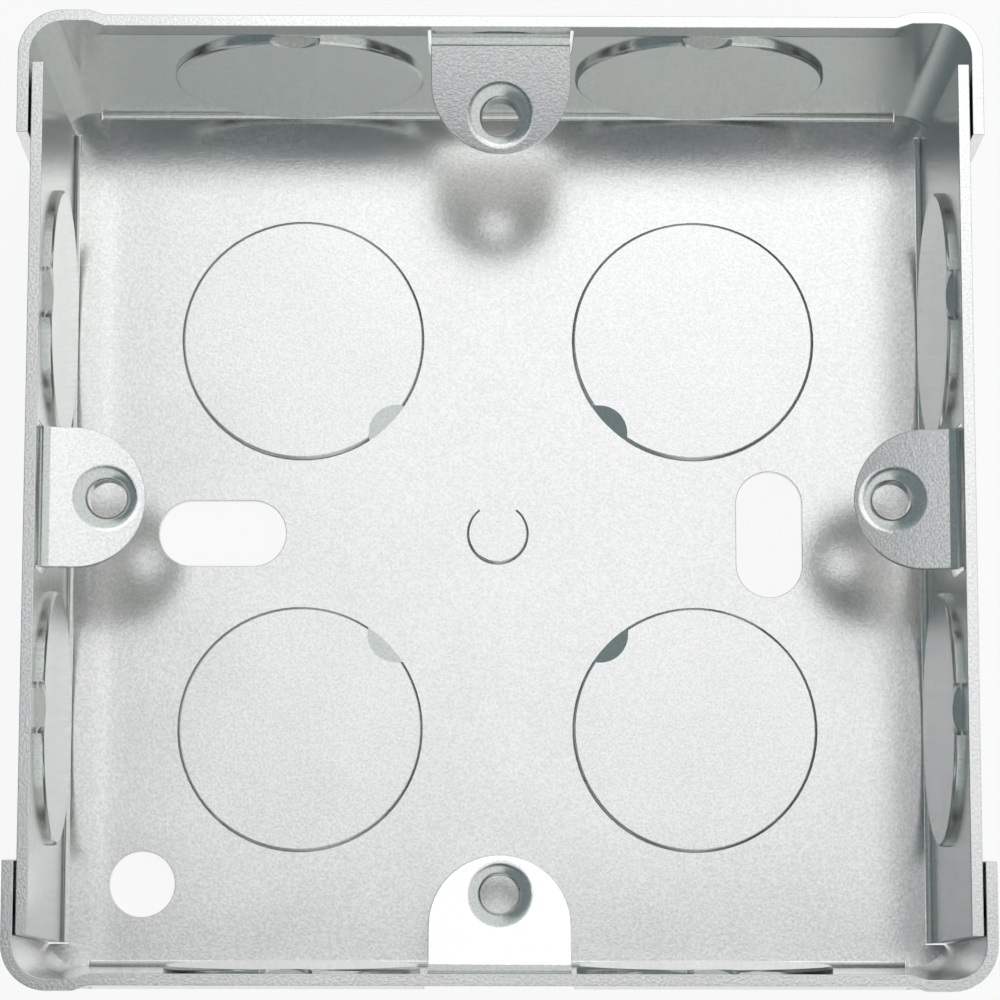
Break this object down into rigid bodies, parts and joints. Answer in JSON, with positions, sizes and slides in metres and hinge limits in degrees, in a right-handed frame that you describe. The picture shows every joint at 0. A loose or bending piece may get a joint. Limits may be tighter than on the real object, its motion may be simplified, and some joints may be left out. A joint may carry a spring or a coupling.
{
  "type": "flush back box",
  "caption": "Shallow square back box folded from galvanised steel sheet, with an open mouth, threaded fixing lugs, round knockouts in its walls and back, and screw slots.",
  "frame": {"origin": "middle of the outer face of the back, with the box lying on its back", "axes": "+Z out of the open mouth, +Y towards the top wall as it is fixed in a wall, +X towards the wall beside the upright slot"},
  "size_m": [0.0744, 0.075, 0.025],
  "materials": {
    "galvanised_steel": "satin zinc coating with a fine speckle"
  },
  "bodies": {
    "root": {"back_box": "galvanised_steel"}
  },
  "joints": []
}
